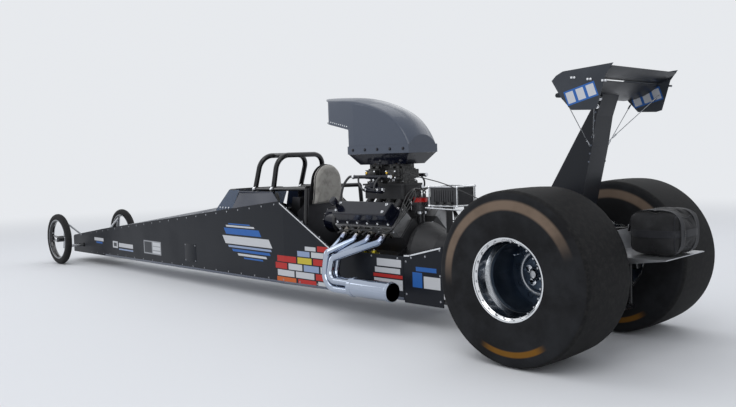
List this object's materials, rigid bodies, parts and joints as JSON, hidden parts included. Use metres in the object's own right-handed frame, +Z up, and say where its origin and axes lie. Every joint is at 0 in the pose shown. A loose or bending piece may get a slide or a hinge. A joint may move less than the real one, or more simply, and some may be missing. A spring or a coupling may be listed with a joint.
{
  "type": "rear-engined drag racing car",
  "caption": "Long, low rear-engined dragster with an enclosed tube frame, caged cockpit, open engine under a tall intake scoop, wide rear slicks, thin front wheels and a high rear wing.",
  "frame": {"origin": "on the ground, under the middle of the whole car's length and width", "axes": "+X forward to the nose, +Y to the driver's left, +Z up"},
  "size_m": [7.25, 1.485, 1.539],
  "materials": {
    "frame_paint": "satin",
    "body_paint": "satin",
    "sheet_alloy": "brushed",
    "clear_screen": "clear",
    "padding": "padded",
    "black_casting": "painted",
    "bare_casting": "cast",
    "black_alloy": "semi-gloss",
    "carburettor_alloy": "satin",
    "red_cap": "gloss",
    "dark_box": "satin",
    "bright_pipe": "polished",
    "steel_parts": "satin",
    "grip": "matt",
    "pack_cloth": "woven",
    "rear_rim": "satin with polished lip",
    "front_rim": "gloss",
    "slick_rubber": "worn",
    "front_rubber": "matt"
  },
  "bodies": {
    "chassis": {"side_frame_left": "frame_paint", "side_frame_right": "frame_paint", "cross_members": "frame_paint", "roll_cage": "frame_paint", "axle_housing": "frame_paint", "nose": "body_paint", "side_panels": "body_paint", "top_deck": "body_paint", "cockpit_cowl": "body_paint", "rear_panels": "body_paint", "scoop": "body_paint", "wing": "body_paint", "wing_end_plates": "body_paint", "wing_stand": "body_paint", "belly_pan": "sheet_alloy", "firewall": "sheet_alloy", "seat": "sheet_alloy", "chute_tray": "sheet_alloy", "motor_plates": "sheet_alloy", "windscreen": "clear_screen", "head_shroud": "padding", "engine_block": "black_casting", "cylinder_heads": "bare_casting", "transmission": "bare_casting", "front_drive": "bare_casting", "valve_covers": "black_alloy", "intake_manifold": "black_alloy", "scoop_tray": "black_alloy", "carburettors": "carburettor_alloy", "distributor": "red_cap", "ignition_box": "dark_box", "headers": "bright_pipe", "collectors": "bright_pipe", "front_axle": "steel_parts", "steering_column": "steel_parts", "parachute_pack": "pack_cloth"},
    "rear_axle": {"rear_wheels": "rear_rim", "rear_tyres": "slick_rubber"},
    "knuckle_left": {"knuckle_left": "steel_parts"},
    "knuckle_right": {"knuckle_right": "steel_parts"},
    "front_wheel_left": {"front_wheel_left": "front_rim", "front_tyre_left": "front_rubber"},
    "front_wheel_right": {"front_wheel_right": "front_rim", "front_tyre_right": "front_rubber"},
    "tie_rod": {"tie_rod": "steel_parts"},
    "steering_wheel": {"steering_wheel": "grip"}
  },
  "joints": [
    {"name": "rear_axle_spin", "type": "hinge", "parent": "chassis", "child": "rear_axle", "pos_m": [-3.005, 0, 0.457], "axis": [0, 1, 0], "continuous": true},
    {"name": "steer_left", "type": "hinge", "parent": "chassis", "child": "knuckle_left", "pos_m": [3.345, 0.318, 0.28], "axis": [-0.1736, 0, 0.9848], "range_deg": [-15, 15]},
    {"name": "steer_right", "type": "hinge", "parent": "chassis", "child": "knuckle_right", "pos_m": [3.345, -0.318, 0.28], "axis": [-0.1736, 0, 0.9848], "range_deg": [-15, 15]},
    {"name": "tie_rod_swing", "type": "hinge", "parent": "knuckle_left", "child": "tie_rod", "pos_m": [3.22403, 0.318, 0.21743], "axis": [-0.1736, 0, 0.9848], "range_deg": [-15, 15]},
    {"name": "front_wheel_left_spin", "type": "hinge", "parent": "knuckle_left", "child": "front_wheel_left", "pos_m": [3.345, 0.381, 0.28], "axis": [0, 1, 0], "continuous": true},
    {"name": "front_wheel_right_spin", "type": "hinge", "parent": "knuckle_right", "child": "front_wheel_right", "pos_m": [3.345, -0.381, 0.28], "axis": [0, 1, 0], "continuous": true},
    {"name": "steering_wheel_turn", "type": "hinge", "parent": "chassis", "child": "steering_wheel", "pos_m": [-0.02, 0, 0.742], "axis": [-0.9579, 0, 0.287], "range_deg": [-120, 120]}
  ],
  "couplings": [
    {"joint": "steer_right", "follows": "steer_left", "ratio": 1},
    {"joint": "tie_rod_swing", "follows": "steer_left", "ratio": -1},
    {"joint": "steering_wheel_turn", "follows": "steer_left", "ratio": 8}
  ]
}
